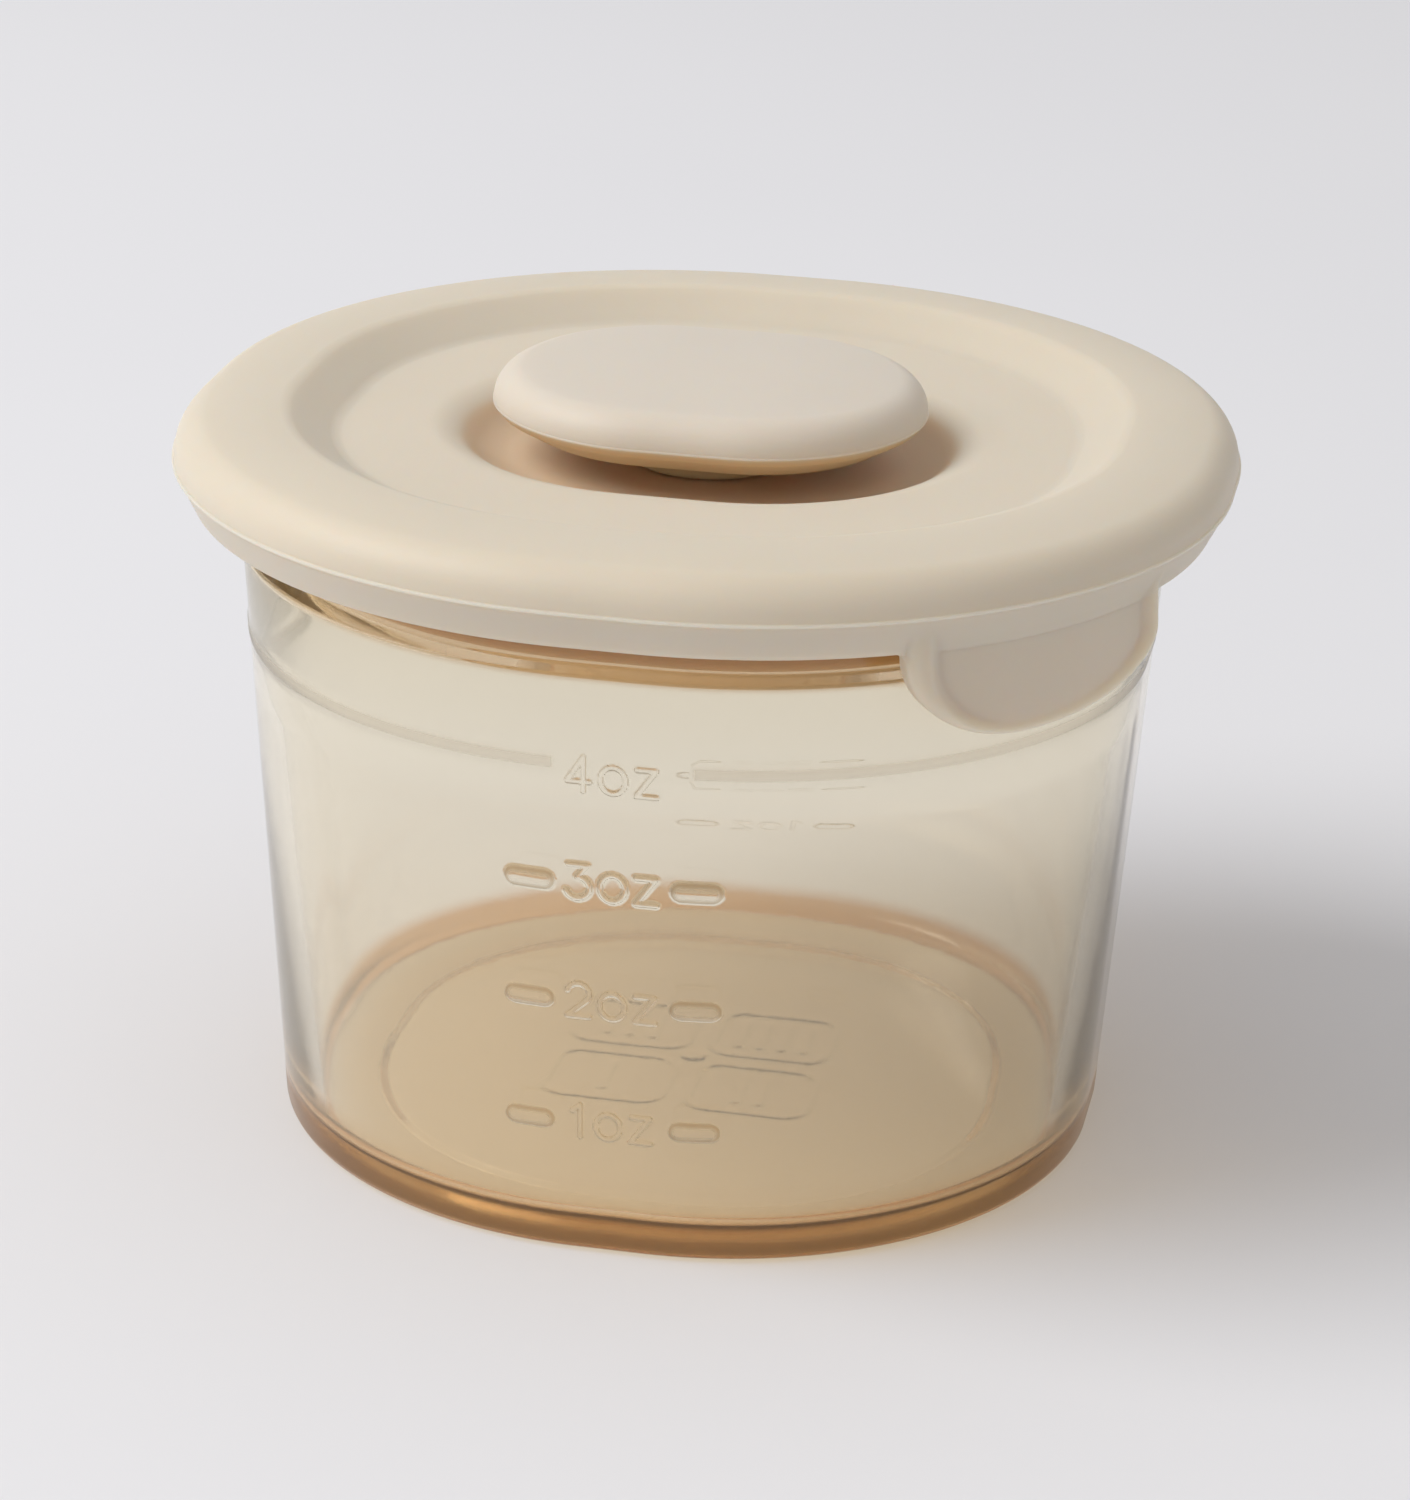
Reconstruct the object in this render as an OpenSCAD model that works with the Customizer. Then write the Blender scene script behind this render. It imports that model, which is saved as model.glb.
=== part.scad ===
// Baby food container: a clear cup, a soft lid with a pull tab, and a push-pull vent plug in the lid.
// All sizes are in millimetres. The cup stands on z = 0, its scale faces -Y, and its axis is Z.
// The plan is a soft square: a half width is measured from the axis to the middle of a side.

/* [Plan] */
// Straight length in the middle of each side of the soft square
side_flat = 4.8; // [3:0.2:8]

/* [Cup] */
// Half width of the cup at its base
base_half = 32; // [31:0.5:33.5]
// Half width of the cup at its shoulder
shoulder_half = 35.1; // [34.5:0.1:36.5]
// Height of the shoulder ledge above the table
shoulder_z = 46.9; // [42:0.5:55]
// Thickness of the side wall
cup_wall = 2; // [1.6:0.1:2.4]
// Thickness of the floor
floor_thickness = 1.7; // [1.2:0.1:3]
// Height of the recess under the floor
foot_recess = 0.6; // [0.4:0.1:1]
// Width of the flat foot ring
foot_width = 7; // [5:0.5:9]
// Rounding of the base edge
base_round = 1.2; // [0.8:0.1:1.6]
// Rounding inside, between floor and wall
floor_fillet = 1.7; // [1:0.1:3]
// Width of the shoulder ledge around the neck
shoulder_ledge = 2.3; // [1.8:0.1:2.6]
// Height of the neck above the shoulder
neck_height = 6.3; // [5.8:0.1:8]
// Thickness of the neck
neck_wall = 2; // [1.7:0.1:2.2]
// Rounding of the drinking edge at the top of the neck
neck_round = 0.8; // [0.4:0.1:0.8]
// Drop over which the inside widens from the neck to the wall
throat_drop = 2.5; // [2:0.1:4]

/* [Lid] */
// Half width of the rim at its parting line
rim_half = 40.2; // [39.8:0.1:41]
// Height of the rim's crest above the groove that takes the neck
rim_rise = 3.7; // [3.4:0.1:4.5]
// Drop from the crest to the parting line
rim_depth = 3.8; // [3.4:0.1:4]
// Width of the rounded outer flank of the rim
rim_flank = 5.2; // [4.5:0.1:5.6]
// Width of the flat part of the crest
crest_width = 3.3; // [2.4:0.1:4]
// Width of the slope from the crest down to the panel
slope_width = 3.7; // [3:0.1:4.4]
// Drop from the crest to the panel
panel_drop = 2.2; // [1.6:0.1:2.6]
// Thickness of the panel
panel_thickness = 2.5; // [2:0.1:3]
// Depth of the skirt below the groove's ceiling
skirt_depth = 3.15; // [2.6:0.05:3.6]
// Distance by which the skirt's lower edge stands in from the parting line
skirt_inset = 1.5; // [1:0.1:2]
// Depth of the inner sealing lip below the groove's ceiling
lip_depth = 7; // [6:0.1:7.4]
// Thickness of the inner sealing lip
lip_wall = 2; // [1.5:0.1:2.4]

/* [Tab] */
// Angle of the tab's middle from the scale side, at the corner of the plan
tab_angle = 49; // [42:1:52]
// Width of the tab
tab_width = 23.2; // [18:0.2:26]
// Length of the tab below the skirt's lower edge
tab_length = 6.85; // [5:0.1:9]
// Thickness of the tab
tab_thickness = 2.4; // [2:0.1:2.8]
// Rounding of the tab's two lower corners, seen from outside
tab_corner = 6.8; // [5:0.1:6.8]
// Distance by which the tab's lower end leans out
tab_flare = 0.6; // [0:0.1:1.5]
// Width of the raised border around the thumb dish
dish_border = 1.6; // [1.2:0.1:2.4]
// Depth of the thumb dish
dish_depth = 0.6; // [0.3:0.1:0.9]

/* [Vent plug] */
// Length of the knob
knob_length = 33.3; // [31:0.1:36]
// Width of the knob
knob_width = 28; // [26:0.1:29]
// Height of the knob's edge above the floor of the recess
knob_lift = 2.2; // [1.8:0.05:3]
// Height of the knob from its underside to its crown
knob_height = 5.7; // [5:0.05:6.5]
// Radius of the broad curve over the knob's top
crown_radius = 112; // [90:1:160]
// Radius of the knob's rounded edge
knob_round = 2.2; // [1.8:0.1:2.6]
// Width of the undercut below the knob's widest line
knob_undercut = 1.6; // [1:0.1:2.2]
// Width of the gap between the knob and the side of the recess
recess_margin = 3.4; // [3:0.1:4]
// Depth of the recess below the panel
recess_depth = 2.4; // [2:0.1:2.8]
// Thickness of the recess floor
recess_floor = 2.2; // [1.8:0.1:2.6]
// Thickness of the wall around the recess, under the panel
recess_wall = 2; // [1.5:0.1:2.5]
// Diameter of the sealing flange
flange_diameter = 15; // [13.5:0.1:17]
// Thickness of the sealing flange
flange_thickness = 1.2; // [0.8:0.1:1.6]
// Diameter of the pedestal that carries the knob
pedestal_diameter = 12; // [10.5:0.1:13]
// Diameter of the stem in the vent bore
stem_diameter = 9; // [8:0.1:10]
// Diameter of the retaining bulb
bulb_diameter = 12.5; // [11.5:0.1:14]
// Height of the retaining bulb
bulb_height = 3.5; // [3:0.1:4]
// Width of the slot that lets steam past the stem
slot_width = 2.2; // [1.6:0.1:3]
// Way that the plug is pulled up to vent
vent_travel = 3; // [2.4:0.1:3.4]

/* [Fits] */
// Gap between the neck and the soft walls on either side of it
neck_clearance = 0.3; // [0.2:0.05:0.5]
// Gap between the stem and its bore
stem_clearance = 0.3; // [0.2:0.05:0.5]
// Gap left between faces that seat on each other
seat_gap = 0.1; // [0.05:0.05:0.2]
// Gap left at the top of the plug's way
stop_gap = 0.2; // [0.1:0.05:0.4]

/* [Hidden] */
$fn = 64;

half = side_flat / 2;
edge_round = 0.4;
cut_margin = 1;

// Cup
neck_half = shoulder_half - shoulder_ledge;
neck_inner = neck_half - neck_wall;
neck_top = shoulder_z + neck_height;
throat_top = shoulder_z - edge_round / 2;
floor_top = foot_recess + floor_thickness;
foot_inner = base_half - foot_width;
function cup_half(z) = base_half + (shoulder_half - base_half) * z / shoulder_z;

// Lid
groove_z = neck_top + seat_gap;
crest_z = groove_z + rim_rise;
parting_z = crest_z - rim_depth;
panel_z = crest_z - panel_drop;
panel_under = panel_z - panel_thickness;
skirt_z = groove_z - skirt_depth;
skirt_outer = rim_half - skirt_inset;
skirt_inner = neck_half + neck_clearance;
lip_outer = neck_inner - neck_clearance;
lip_inner = lip_outer - lip_wall;
lip_z = groove_z - lip_depth;
lip_round = lip_wall / 3;
crest_outer = rim_half - rim_flank;
crest_inner = crest_outer - crest_width;
panel_half = crest_inner - slope_width;
flank_drop = 0.8;
flank_lean = 0.4;

// Tab, in a frame whose axis is the corner's own axis
tab_face = skirt_outer + skirt_inset / 2 - half;
tab_top = parting_z - edge_round;
tab_bottom = skirt_z - tab_length;
tab_span = 30;
tab_reach = tab_face * 2 / 3;

// Vent plug
oval_straight = knob_length - knob_width;
oval_end = knob_width / 2;
recess_z = panel_z - recess_depth;
recess_under = recess_z - recess_floor;
recess_lean = 0.75;
recess_slope = recess_depth * recess_lean;
recess_fillet = 2;
bore_diameter = stem_diameter + 2 * stem_clearance;
flange_z = recess_z + seat_gap;
knob_z = recess_z + knob_lift;
knob_top = knob_z + knob_height;
bulb_top = recess_under - vent_travel - stop_gap;
bulb_bottom = bulb_top - bulb_height;
bulb_tip = bulb_diameter / 2;
slot_top = recess_z - slot_width / 2;

// Helpers for outlines with rounded vertices, given anticlockwise as [x, y, radius]
function unit(a) = a / norm(a);
function xy(p) = [p.x, p.y];
function toward(p, q, distance) = xy(p) + unit(xy(q) - xy(p)) * distance;
function turn(a, b) = a.x * b.y - a.y * b.x;
function tangent(p, q, s) =
  let (corner = acos(unit(xy(q) - xy(p)) * unit(xy(s) - xy(p))))
  p.z / tan(corner / 2);

module rounded(v) {
  n = len(v);
  before = [for (i = [0:n - 1]) v[(i + n - 1) % n]];
  after = [for (i = [0:n - 1]) v[(i + 1) % n]];
  reach = [for (i = [0:n - 1]) v[i].z > 0 ? tangent(v[i], before[i], after[i]) : 0];
  ends = [for (i = [0:n - 1]) v[i].z > 0
    ? [toward(v[i], before[i], reach[i]), toward(v[i], after[i], reach[i])]
    : [xy(v[i])]];
  outer = [for (i = [0:n - 1]) turn(xy(v[i]) - xy(before[i]), xy(after[i]) - xy(v[i])) > 0];

  module arc(i) {
    a = ends[i][0];
    b = ends[i][1];
    out = unit(xy(v[i]) - (a + b) / 2);
    intersection() {
      translate(xy(v[i]) - out * norm([reach[i], v[i].z])) circle(v[i].z);
      polygon([a, b, b + out * v[i].z, a + out * v[i].z]);
    }
  }

  difference() {
    union() {
      polygon([for (e = ends) each e]);
      for (i = [0:n - 1]) if (v[i].z > 0 && outer[i]) arc(i);
    }
    for (i = [0:n - 1]) if (v[i].z > 0 && !outer[i]) arc(i);
  }
}

// Carries a section around the soft square; x = 0 of the section is on the corners' own axes
module sweep_square() {
  for (quarter = [0:3]) rotate(90 * quarter) {
    translate([half, half, 0]) rotate_extrude(angle = 90) children();
    translate([-half, half, 0]) along_x(side_flat) children();
  }
}

// Carries a section around the oval of the knob; x = 0 of the section is on the oval's middle line
module sweep_oval() {
  for (end = [0:1]) rotate(180 * end)
    translate([oval_straight / 2, 0, 0]) rotate(-90) rotate_extrude(angle = 180) children();
  translate([-oval_straight / 2, 0, 0]) along_x(oval_straight) {
    children();
    mirror([1, 0]) children();
  }
}

// Stands a section up in the YZ plane and draws it out along +X
module along_x(distance) {
  rotate([90, 0, 90]) linear_extrude(height = distance) children();
}

// Section of the cup's floor, wall, shoulder and neck
module cup_section() {
  throat_low = throat_top - throat_drop;
  rounded([
    [0, foot_recess, 0],
    [foot_inner - foot_recess - half, foot_recess, edge_round],
    [foot_inner - half, 0, edge_round],
    [base_half - half, 0, base_round],
    [shoulder_half - half, shoulder_z, edge_round],
    [neck_half - half, shoulder_z, edge_round],
    [neck_half - half, neck_top, neck_round],
    [neck_inner - half, neck_top, neck_round],
    [neck_inner - half, throat_top, cup_wall],
    [cup_half(throat_low) - cup_wall - half, throat_low, cup_wall],
    [cup_half(floor_top) - cup_wall - half, floor_top, floor_fillet],
    [0, floor_top, 0]
  ]);
}

module cup() color("#dcc79c", 0.5) {
  sweep_square() cup_section();
  translate([-half, -half, foot_recess]) cube([side_flat, side_flat, floor_thickness]);
}

// Section of the lid's panel, slope, rim, skirt, groove and sealing lip
module lid_section() {
  crest_round = 20;
  flank_round = 2.6;
  slope_round = 2;
  rounded([
    [0, panel_under, 0],
    [lip_inner - half, panel_under, edge_round],
    [lip_inner - half, lip_z, lip_round],
    [lip_outer - half, lip_z, lip_round],
    [lip_outer - half, groove_z, edge_round / 2],
    [skirt_inner - half, groove_z, edge_round / 2],
    [skirt_inner - half, skirt_z, edge_round],
    [skirt_outer - half, skirt_z, edge_round * 2],
    [rim_half - half, parting_z, edge_round],
    [rim_half - flank_lean - half, crest_z - flank_drop, flank_round],
    [crest_outer - half, crest_z, crest_round],
    [crest_inner - half, crest_z, slope_round],
    [panel_half - half, panel_z, slope_round],
    [0, panel_z, 0]
  ]);
}

// Section of the oval dish that the knob stands in
module recess_section(side) {
  floor_half = side - recess_slope;
  rounded([
    [0, recess_z, 0],
    [floor_half, recess_z, recess_fillet],
    [side + recess_lean * cut_margin, panel_z + cut_margin, 0],
    [0, panel_z + cut_margin, 0]
  ]);
}

// Outline of the tab or its dish, seen along the corner's direction, with its lower corners rounded
module tab_outline(border, top) {
  side = tab_width / 2 - border;
  low = tab_bottom + border;
  round_corner = tab_corner - border;
  rounded([[-side, low, round_corner], [side, low, round_corner], [side, top, 0], [-side, top, 0]]);
}

// Piece of a leaning wall around the corner's axis, from one depth behind the tab's face to another,
// that lies behind a flat outline
module tab_wall(depth, back) {
  low = tab_bottom - cut_margin;
  high = tab_top + cut_margin;
  function face(z) = tab_face + tab_flare * (tab_top - z) / (tab_top - tab_bottom);
  intersection() {
    rotate(-tab_span) rotate_extrude(angle = 2 * tab_span) polygon([
      [face(low) - back, low],
      [face(low) - depth, low],
      [face(high) - depth, high],
      [face(high) - back, high]
    ]);
    translate([tab_reach, 0, 0]) along_x(tab_reach) children();
  }
}

// The tab is a plate with a raised border, so that a thumb dish is left between
module tab() {
  tab_wall(dish_depth, tab_thickness) tab_outline(0, tab_top);
  tab_wall(0, (dish_depth + tab_thickness) / 2) difference() {
    tab_outline(0, tab_top);
    tab_outline(dish_border, tab_top + cut_margin);
  }
}

module lid() color("#e2d9c8") difference() {
  recess_half = oval_end + recess_margin;
  boss_half = recess_half + recess_wall;
  union() {
    sweep_square() lid_section();
    translate([half, -half, 0]) rotate(tab_angle - 90) tab();
    sweep_oval() polygon([
      [0, recess_under],
      [boss_half - recess_wall, recess_under],
      [boss_half, recess_under + recess_wall],
      [boss_half, panel_z - recess_wall / 2],
      [0, panel_z - recess_wall / 2]
    ]);
  }
  sweep_oval() recess_section(recess_half);
  translate([0, 0, recess_under - cut_margin])
    cylinder(d = bore_diameter, h = recess_floor + 2 * cut_margin);
}

// Section of the knob: a flat underside, a widest line, a rounded edge and a broad crown, all tangent
module knob_section() {
  crown_centre = [0, knob_top - crown_radius];
  edge_x = oval_end - knob_round;
  edge_centre = [edge_x, crown_centre.y + sqrt(pow(crown_radius - knob_round, 2) - edge_x * edge_x)];
  meet = crown_centre + unit(edge_centre - crown_centre) * crown_radius;
  polygon([
    [0, knob_z],
    [oval_end - knob_undercut, knob_z],
    [oval_end, edge_centre.y],
    edge_centre,
    meet,
    [0, meet.y]
  ]);
  intersection() {
    translate(edge_centre) circle(knob_round);
    polygon([
      edge_centre,
      [oval_end, edge_centre.y],
      [oval_end, meet.y + cut_margin],
      [meet.x, meet.y + cut_margin],
      meet
    ]);
  }
  intersection() {
    translate(crown_centre) circle(crown_radius, $fn = 360);
    translate([0, meet.y]) square([meet.x, knob_height]);
  }
}

// Section of the flange, stem and retaining bulb, from the axis outwards
module stem_section() {
  knob_overlap = knob_height / 4;
  rounded([
    [0, bulb_bottom, 0],
    [bulb_tip / 2, bulb_bottom, edge_round * 2],
    [bulb_diameter / 2, bulb_top - edge_round * 2, edge_round],
    [bulb_diameter / 2, bulb_top, edge_round],
    [stem_diameter / 2, bulb_top, edge_round],
    [stem_diameter / 2, flange_z, 0],
    [flange_diameter / 2, flange_z, edge_round],
    [flange_diameter / 2, flange_z + flange_thickness, edge_round],
    [pedestal_diameter / 2, flange_z + flange_thickness, edge_round],
    [pedestal_diameter / 2, knob_z + knob_overlap, 0],
    [0, knob_z + knob_overlap, 0]
  ]);
}

module vent_plug() color("#e9e2d3") difference() {
  union() {
    sweep_oval() knob_section();
    rotate_extrude() stem_section();
  }
  translate([-bulb_diameter / 2 - cut_margin, -slot_width / 2, bulb_bottom - cut_margin])
    cube([bulb_diameter + 2 * cut_margin, slot_width, slot_top - bulb_bottom + cut_margin]);
}

cup();
lid();
vent_plug();
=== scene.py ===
import math

import bmesh
import bpy
import numpy as np
from mathutils import Euler, Matrix, Vector


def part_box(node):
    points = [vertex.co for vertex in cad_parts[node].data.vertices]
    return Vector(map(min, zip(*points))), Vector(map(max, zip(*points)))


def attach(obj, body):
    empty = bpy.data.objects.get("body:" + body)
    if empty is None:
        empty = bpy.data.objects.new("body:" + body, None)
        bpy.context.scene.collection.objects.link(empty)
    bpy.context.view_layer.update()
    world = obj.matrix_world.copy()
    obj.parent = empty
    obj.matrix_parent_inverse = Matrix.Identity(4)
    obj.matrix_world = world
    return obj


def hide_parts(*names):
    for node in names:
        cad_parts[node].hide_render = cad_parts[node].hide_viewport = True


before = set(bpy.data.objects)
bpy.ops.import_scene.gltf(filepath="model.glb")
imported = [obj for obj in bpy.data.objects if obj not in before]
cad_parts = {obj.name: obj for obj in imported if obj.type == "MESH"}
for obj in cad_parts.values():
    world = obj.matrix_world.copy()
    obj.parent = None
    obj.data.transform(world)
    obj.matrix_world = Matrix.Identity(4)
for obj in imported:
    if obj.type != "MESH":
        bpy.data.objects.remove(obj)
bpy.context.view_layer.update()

# Pieces are drawn in millimetres, as the solids are, and brought to metres when they are finished
MM = 0.001
WELD = 0.0005
cup_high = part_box("cup")[1] / MM
lid_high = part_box("lid")[1] / MM
plug_low, plug_high = (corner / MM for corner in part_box("vent_plug"))

# Plan: a soft square, each side with a short straight stretch. Sizes go from the axis to a side's middle
HALF = 2.4
SIDE = 2 * HALF
CORNER_STEPS = 72
FLAT_STEPS = 7

# Rounding of sections, and the flat strip kept beside an edge before the rest of the flat is filled
EDGE = 0.4
ROUND_LEAST = 4
ROUND_MOST = 12
ROUND_PER_MM = 5
FLAT_MARGIN = 1.0

# Cup
SHOULDER_HALF = 35.1
SHOULDER_Z = 46.9
BASE_HALF = SHOULDER_HALF - 3.1
CUP_WALL = 2.0
FOOT_RECESS = 0.6
FLOOR_TOP = FOOT_RECESS + 1.7
FOOT_INNER = BASE_HALF - 7.0
FOOT_BAND = 2.9
FOOT_ROUND = 1.2
FLOOR_ROUND = 1.7
NECK_HALF = SHOULDER_HALF - 2.3
NECK_INNER = NECK_HALF - 2.0
NECK_TOP = cup_high.z
NECK_ROUND = 0.8
THROAT_TOP = SHOULDER_Z - EDGE / 2
THROAT_LOW = THROAT_TOP - 9.0
THROAT_ROUND = 20.0
CUP_SMOOTH = 65

# Raised ring at the fill line, open where the top mark of the scale stands
RING_LOW = 39.4
RING_HIGH = 40.8
RING_LIFT = 0.1
RING_EDGE = 0.32
RING_GAP = (math.radians(-6.4), math.radians(9.7))

# Frosting of the cup's faces, from clear at nothing to matt at one, which on the ring and the marks' flanks
# also darkens them with painted shade
RING_FROST_AND_SHADE = 0.58
FOOT_FROST = 0.8
BAND_FROST = 0.45

# Scale on the wall, raised from patches of it that are finely divided
ROWS = ((1, 11.09), (2, 21.13), (3, 30.69), (4, 39.24))
ROW_HALF = 1.95
ROW_STEPS = 3
ROW_REACH = 9.8
ROW_CUTS = 5
TEXT_MIDDLE = 0.3
TEXT_RAISE = 0.12
TEXT_GAP = 0.4
TEXT_LIFT = 0.14
TEXT_SOFT = 0.17
DIGIT_TALL = 3.05
DIGIT_WIDE = 1.65
LETTER_TALL = 2.45
STROKE = 0.38
PILL_LEFT = -5.8
PILL_RIGHT = 6.5
PILL_LONG = 3.85
PILL_TALL = 1.6
PILL_LIFT = 0.26

# Marks under the floor
UNDER_RIM = 17.0
FLOOR_RIM = 24.0
PLATE_LONG = 25.0
PLATE_WIDE = 21.0
PLATE_STEP = 0.2
MARK_LONG = 9.6
MARK_WIDE = 8.2
MARK_SPACE = 2.0
MARK_ROUND = 1.8
MARK_LINE = 0.7
MARK_LIFT = 0.06
GATE = 1.1
GATE_LIFT = 2 * MARK_LIFT

# Lid
RIM_HALF = 40.2
CREST_Z = lid_high.z
PARTING_Z = CREST_Z - 3.8
PANEL_Z = CREST_Z - 2.2
PANEL_UNDER = PANEL_Z - 2.5
GROOVE_Z = NECK_TOP + 0.1
SKIRT_Z = GROOVE_Z - 3.15
SKIRT_OUTER = RIM_HALF - 1.5
SKIRT_INNER = NECK_HALF + 0.3
SKIRT_ROWS = 8
LIP_OUTER = NECK_INNER - 0.3
LIP_INNER = LIP_OUTER - 2.0
LIP_Z = GROOVE_Z - 7.0
LIP_ROUND = 0.66
RIM_LEAN = 0.4
RIM_DROP = 0.8
RIM_ROUND = 2.9
CREST_OUTER = RIM_HALF - 5.2
CREST_INNER = CREST_OUTER - 3.3
CREST_ROUND = 20.0
PANEL_HALF = CREST_INNER - 3.7
SLOPE_ROUND = 2.0
SOFT_SMOOTH = 40

# Parting line round the lid's rim: a fine ridge with sloped flanks
RIDGE_OUT = 0.13
RIDGE_TALL = 0.16
RIDGE_FLANK = 0.1
RIDGE_FOOT = 0.05
RIDGE_CLEAR = 0.15

# Pull tab, around the corner's own axis
TAB_ANGLE = 50
TAB_LEFT = -11.6
TAB_RIGHT = 10.6
TAB_REACH = 12.1
TAB_BOTTOM = SKIRT_Z - 6.85
TAB_TOP = PARTING_Z - EDGE
TAB_LOWEST = -2.6
TAB_CURVE_LEFT = 6.35
TAB_CURVE_RIGHT = 5.0
TAB_FLARE = 0.6
TAB_FACE = SKIRT_OUTER + 0.75 - HALF
TAB_THICK = 2.4
TAB_RADIUS = TAB_FACE - TAB_THICK
TAB_EDGE = 0.85
TAB_BACK_EDGE = TAB_EDGE * 0.8
TAB_FALL = 3
TAB_BLEND = 0.5
TAB_COLUMNS = 96
TAB_ROWS = 24
TAB_DRAW = 1.0
TAB_FLARE_STEPS = 8
TAB_CURVE_STEPS = 40
TURN_SLACK = 0.001
DISH_LEFT = 1.3
DISH_RIGHT = 0.4
DISH_LOW = -0.4
DISH_SOFT = 1.2
DISH_DEPTH = 0.9

# Vent plug and the recess that it stands in
KNOB_HALF = plug_high.y - 0.6
OVAL = 2 * (plug_high.x - KNOB_HALF)
KNOB_TOP = plug_high.z - 0.4
RECESS_Z = PANEL_Z - 2.4
RECESS_UNDER = RECESS_Z - 2.2
RECESS_HALF = KNOB_HALF + 3.4
RECESS_SLOPE = 3.2
RECESS_ROUND = 4.5
BOSS_HALF = RECESS_HALF + 2.0
BOSS_SLOPE = 2.1
BOSS_ROUND = 0.6
BOSS_MARGIN = 1.2
BORE = 4.8
KNOB_Z = RECESS_Z + 2.2
CROWN = 112.0
CROWN_STEPS = 8
KNOB_ROUND = 2.5
KNOB_STEPS = 20
KNOB_UNDER_ROUND = 0.8
UNDERCUT = 3.0
UNDERCUT_ROUND = 0.5
UNDERCUT_BAND = 0.4
UNDERCUT_Z = KNOB_Z + 1.5
KNOB_LINE_FOOT = 0.05
KNOB_LINE_OUT = 0.06
KNOB_LINE_DROPS = (0.25, 0.16, 0.06)
FLANGE_Z = RECESS_Z + 0.1
FLANGE_TOP = FLANGE_Z + 1.2
FLANGE = 6.2
PEDESTAL = 5.6
STEM = 4.5
BULB = 6.25
BULB_TOP = RECESS_UNDER - 3.2
BULB_BOTTOM = plug_low.z
BULB_BAND = 0.8
BULB_ROUND = 0.8
SLOT = 2.2
SLOT_TOP = RECESS_Z - SLOT / 2
SLOT_TALL = 10.0
OVAL_STEPS = 96


# Work in edit mode

def edit_mesh():
    """The mesh of the piece in edit mode."""
    return bmesh.from_edit_mesh(bpy.context.object.data)


def show_selection(edit):
    """Hands a selection made in code back to the piece in edit mode."""
    edit.select_flush_mode()
    bmesh.update_edit_mesh(bpy.context.object.data)


def pick_points(test):
    """Selects the vertices whose place passes a test."""
    bpy.ops.mesh.select_mode(type="VERT")
    edit = edit_mesh()
    for vertex in edit.verts:
        vertex.select_set(test(vertex.co))
    show_selection(edit)


def pick_faces(test):
    """Selects the faces whose middle and normal pass a test."""
    bpy.ops.mesh.select_mode(type="FACE")
    edit = edit_mesh()
    for face in edit.faces:
        face.select_set(test(face.calc_center_median(), face.normal))
    show_selection(edit)


def pick_open_rims(height):
    """Selects the open edges that lie at one height."""
    bpy.ops.mesh.select_mode(type="EDGE")
    edit = edit_mesh()
    for edge in edit.edges:
        level = all(abs(vertex.co.z - height) < WELD for vertex in edge.verts)
        edge.select_set(level and edge.is_boundary)
    show_selection(edit)


def open_piece(name, place):
    """Starts a piece: a small plane, merged to one vertex at its place, left in edit mode."""
    bpy.ops.object.select_all(action="DESELECT")
    bpy.ops.mesh.primitive_plane_add(size=1, location=place)
    piece = bpy.context.object
    piece.name = name
    bpy.ops.object.transform_apply(location=True, rotation=False, scale=False)
    bpy.ops.object.mode_set(mode="EDIT")
    bpy.ops.mesh.select_mode(type="VERT")
    bpy.ops.mesh.select_all(action="SELECT")
    bpy.ops.mesh.merge(type="CENTER")
    return piece


def add_point(place):
    """Adds one more vertex to the piece in edit mode, to draw the next line from."""
    bpy.ops.mesh.select_mode(type="VERT")
    bpy.ops.mesh.select_all(action="DESELECT")
    bpy.ops.mesh.primitive_plane_add(size=1, location=place)
    bpy.ops.mesh.merge(type="CENTER")


def draw_line(points):
    """Extrudes the selected vertex from the first point to each of the others."""
    for before, after in zip(points, points[1:]):
        step = Vector(after) - Vector(before)
        bpy.ops.mesh.extrude_vertices_move(TRANSFORM_OT_translate={"value": tuple(step)})


def draw_arc(centre, degrees, steps, axis):
    """Spins the selected vertex about a centre; a positive angle turns clockwise about the axis."""
    bpy.ops.mesh.spin(steps=steps, angle=math.radians(degrees), center=centre, axis=axis)


def round_corner(before, corner, after, radius, segments):
    """Rounds one vertex of a line with an arc of about this radius."""
    one = (before - corner).normalized()
    other = (after - corner).normalized()
    reach = radius / math.tan(one.angle(other) / 2)
    pick_points(lambda place: (place - corner).length < WELD)
    bpy.ops.mesh.bevel(offset_type="ABSOLUTE", offset=reach, segments=segments, affect="VERTICES")


def draw_section(section, stand):
    """Draws a section of (out, up, radius) vertices, where stand turns out and up into a place."""
    places = [Vector(stand(out, up)) for out, up, _ in section]
    draw_line(places)
    for number, (_, _, radius) in enumerate(section):
        if radius > 0:
            segments = max(ROUND_LEAST, min(ROUND_MOST, round(radius * ROUND_PER_MM)))
            round_corner(places[number - 1], places[number], places[number + 1], radius, segments)


def sweep(turns, flat_steps=1):
    """Carries the selected section round.

    A turn is its centre, its runs of (degrees, steps) and the straight way after it.
    """
    for centre, runs, way in turns:
        for degrees, steps in runs:
            bpy.ops.mesh.spin(steps=steps, angle=math.radians(degrees), center=(*centre, 0), axis=(0, 0, 1))
        step = tuple(Vector((*way, 0)) / flat_steps)
        for _ in range(flat_steps):
            bpy.ops.mesh.extrude_region_move(TRANSFORM_OT_translate={"value": step})


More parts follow.
